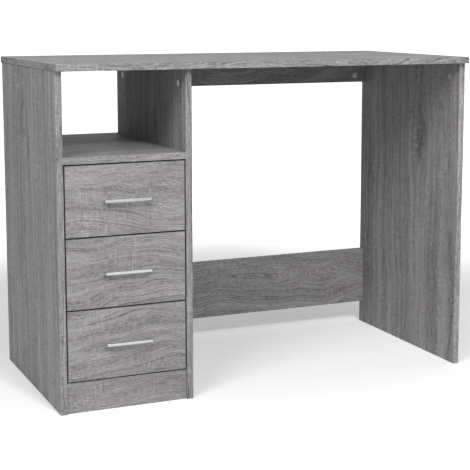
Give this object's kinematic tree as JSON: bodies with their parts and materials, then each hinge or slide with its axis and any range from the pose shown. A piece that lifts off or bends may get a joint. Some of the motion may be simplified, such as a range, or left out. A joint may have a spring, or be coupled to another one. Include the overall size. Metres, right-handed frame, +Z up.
{
  "type": "writing desk with drawers",
  "caption": "Writing desk with a drawer pedestal at the left under an open compartment, bar handles, a knee space and back rails, in grey board.",
  "frame": {"origin": "on the floor, at the middle of the overall width and of the overall depth, handles included", "axes": "+X along the width to the right as seen from the front, +Y to the back, +Z up; the drawers open towards -Y"},
  "size_m": [1.02, 0.505, 0.76],
  "materials": {
    "decor_board": "grey saw-cut oak decor, grain along the length",
    "panel_decor": "grey saw-cut oak decor, grain upright",
    "drawer_board": "plain white melamine",
    "hardboard": "white lacquered hardboard",
    "zinc_plated_steel": "zinc plated",
    "zinc_cam": "die-cast zinc",
    "beech": "plain beech",
    "coated_steel": "white powder coat",
    "nylon": "moulded nylon",
    "handle_metal": "satin"
  },
  "bodies": {
    "carcass": {"top_board": "decor_board", "left_side_panel": "panel_decor", "middle_side_panel": "panel_decor", "right_side_panel": "panel_decor", "pedestal_shelf": "decor_board", "plinth_board": "decor_board", "upper_back_rail": "decor_board", "lower_back_rail": "decor_board", "pedestal_back_panel": "hardboard", "cam_discs": "zinc_cam", "cam_bolts": "zinc_plated_steel", "wooden_dowels": "beech", "back_panel_nails": "zinc_plated_steel", "cabinet_runners": "coated_steel", "cabinet_runner_screws": "zinc_plated_steel"},
    "lower_drawer": {"lower_drawer_front": "decor_board", "lower_drawer_left_side": "drawer_board", "lower_drawer_right_side": "drawer_board", "lower_drawer_back": "drawer_board", "lower_drawer_bottom": "hardboard", "lower_drawer_handle": "handle_metal", "lower_drawer_handle_screws": "zinc_plated_steel", "lower_drawer_runners": "coated_steel", "lower_drawer_screws": "zinc_plated_steel", "lower_drawer_cam_fittings": "zinc_cam", "lower_drawer_dowels": "beech"},
    "lower_cabinet_roller_left": {"lower_cabinet_roller_left": "nylon"},
    "lower_drawer_roller_left": {"lower_drawer_roller_left": "nylon"},
    "lower_cabinet_roller_right": {"lower_cabinet_roller_right": "nylon"},
    "lower_drawer_roller_right": {"lower_drawer_roller_right": "nylon"},
    "middle_drawer": {"middle_drawer_front": "decor_board", "middle_drawer_left_side": "drawer_board", "middle_drawer_right_side": "drawer_board", "middle_drawer_back": "drawer_board", "middle_drawer_bottom": "hardboard", "middle_drawer_handle": "handle_metal", "middle_drawer_handle_screws": "zinc_plated_steel", "middle_drawer_runners": "coated_steel", "middle_drawer_screws": "zinc_plated_steel", "middle_drawer_cam_fittings": "zinc_cam", "middle_drawer_dowels": "beech"},
    "middle_cabinet_roller_left": {"middle_cabinet_roller_left": "nylon"},
    "middle_drawer_roller_left": {"middle_drawer_roller_left": "nylon"},
    "middle_cabinet_roller_right": {"middle_cabinet_roller_right": "nylon"},
    "middle_drawer_roller_right": {"middle_drawer_roller_right": "nylon"},
    "upper_drawer": {"upper_drawer_front": "decor_board", "upper_drawer_left_side": "drawer_board", "upper_drawer_right_side": "drawer_board", "upper_drawer_back": "drawer_board", "upper_drawer_bottom": "hardboard", "upper_drawer_handle": "handle_metal", "upper_drawer_handle_screws": "zinc_plated_steel", "upper_drawer_runners": "coated_steel", "upper_drawer_screws": "zinc_plated_steel", "upper_drawer_cam_fittings": "zinc_cam", "upper_drawer_dowels": "beech"},
    "upper_cabinet_roller_left": {"upper_cabinet_roller_left": "nylon"},
    "upper_drawer_roller_left": {"upper_drawer_roller_left": "nylon"},
    "upper_cabinet_roller_right": {"upper_cabinet_roller_right": "nylon"},
    "upper_drawer_roller_right": {"upper_drawer_roller_right": "nylon"}
  },
  "joints": [
    {"name": "lower_drawer_slide", "type": "slide", "parent": "carcass", "child": "lower_drawer", "axis": [0, -1, 0], "range_m": [0, 0.3]},
    {"name": "lower_cabinet_roller_left_spin", "type": "hinge", "parent": "carcass", "child": "lower_cabinet_roller_left", "pos_m": [-0.4881, -0.2035, 0.0988], "axis": [1, 0, 0], "continuous": true},
    {"name": "lower_drawer_roller_left_spin", "type": "hinge", "parent": "lower_drawer", "child": "lower_drawer_roller_left", "pos_m": [-0.4854, 0.1705, 0.0968], "axis": [1, 0, 0], "continuous": true},
    {"name": "lower_cabinet_roller_right_spin", "type": "hinge", "parent": "carcass", "child": "lower_cabinet_roller_right", "pos_m": [-0.2199, -0.2035, 0.0988], "axis": [1, 0, 0], "continuous": true},
    {"name": "lower_drawer_roller_right_spin", "type": "hinge", "parent": "lower_drawer", "child": "lower_drawer_roller_right", "pos_m": [-0.2226, 0.1705, 0.0968], "axis": [1, 0, 0], "continuous": true},
    {"name": "middle_drawer_slide", "type": "slide", "parent": "carcass", "child": "middle_drawer", "axis": [0, -1, 0], "range_m": [0, 0.3]},
    {"name": "middle_cabinet_roller_left_spin", "type": "hinge", "parent": "carcass", "child": "middle_cabinet_roller_left", "pos_m": [-0.4881, -0.2035, 0.25713], "axis": [1, 0, 0], "continuous": true},
    {"name": "middle_drawer_roller_left_spin", "type": "hinge", "parent": "middle_drawer", "child": "middle_drawer_roller_left", "pos_m": [-0.4854, 0.1705, 0.25513], "axis": [1, 0, 0], "continuous": true},
    {"name": "middle_cabinet_roller_right_spin", "type": "hinge", "parent": "carcass", "child": "middle_cabinet_roller_right", "pos_m": [-0.2199, -0.2035, 0.25713], "axis": [1, 0, 0], "continuous": true},
    {"name": "middle_drawer_roller_right_spin", "type": "hinge", "parent": "middle_drawer", "child": "middle_drawer_roller_right", "pos_m": [-0.2226, 0.1705, 0.25513], "axis": [1, 0, 0], "continuous": true},
    {"name": "upper_drawer_slide", "type": "slide", "parent": "carcass", "child": "upper_drawer", "axis": [0, -1, 0], "range_m": [0, 0.3]},
    {"name": "upper_cabinet_roller_left_spin", "type": "hinge", "parent": "carcass", "child": "upper_cabinet_roller_left", "pos_m": [-0.4881, -0.2035, 0.41547], "axis": [1, 0, 0], "continuous": true},
    {"name": "upper_drawer_roller_left_spin", "type": "hinge", "parent": "upper_drawer", "child": "upper_drawer_roller_left", "pos_m": [-0.4854, 0.1705, 0.41347], "axis": [1, 0, 0], "continuous": true},
    {"name": "upper_cabinet_roller_right_spin", "type": "hinge", "parent": "carcass", "child": "upper_cabinet_roller_right", "pos_m": [-0.2199, -0.2035, 0.41547], "axis": [1, 0, 0], "continuous": true},
    {"name": "upper_drawer_roller_right_spin", "type": "hinge", "parent": "upper_drawer", "child": "upper_drawer_roller_right", "pos_m": [-0.2226, 0.1705, 0.41347], "axis": [1, 0, 0], "continuous": true}
  ],
  "couplings": [
    {"joint": "lower_cabinet_roller_left_spin", "follows": "lower_drawer_slide", "rad_per_m": 117.65},
    {"joint": "lower_drawer_roller_left_spin", "follows": "lower_drawer_slide", "rad_per_m": 117.65},
    {"joint": "lower_cabinet_roller_right_spin", "follows": "lower_drawer_slide", "rad_per_m": 117.65},
    {"joint": "lower_drawer_roller_right_spin", "follows": "lower_drawer_slide", "rad_per_m": 117.65},
    {"joint": "middle_cabinet_roller_left_spin", "follows": "middle_drawer_slide", "rad_per_m": 117.65},
    {"joint": "middle_drawer_roller_left_spin", "follows": "middle_drawer_slide", "rad_per_m": 117.65},
    {"joint": "middle_cabinet_roller_right_spin", "follows": "middle_drawer_slide", "rad_per_m": 117.65},
    {"joint": "middle_drawer_roller_right_spin", "follows": "middle_drawer_slide", "rad_per_m": 117.65},
    {"joint": "upper_cabinet_roller_left_spin", "follows": "upper_drawer_slide", "rad_per_m": 117.65},
    {"joint": "upper_drawer_roller_left_spin", "follows": "upper_drawer_slide", "rad_per_m": 117.65},
    {"joint": "upper_cabinet_roller_right_spin", "follows": "upper_drawer_slide", "rad_per_m": 117.65},
    {"joint": "upper_drawer_roller_right_spin", "follows": "upper_drawer_slide", "rad_per_m": 117.65}
  ]
}
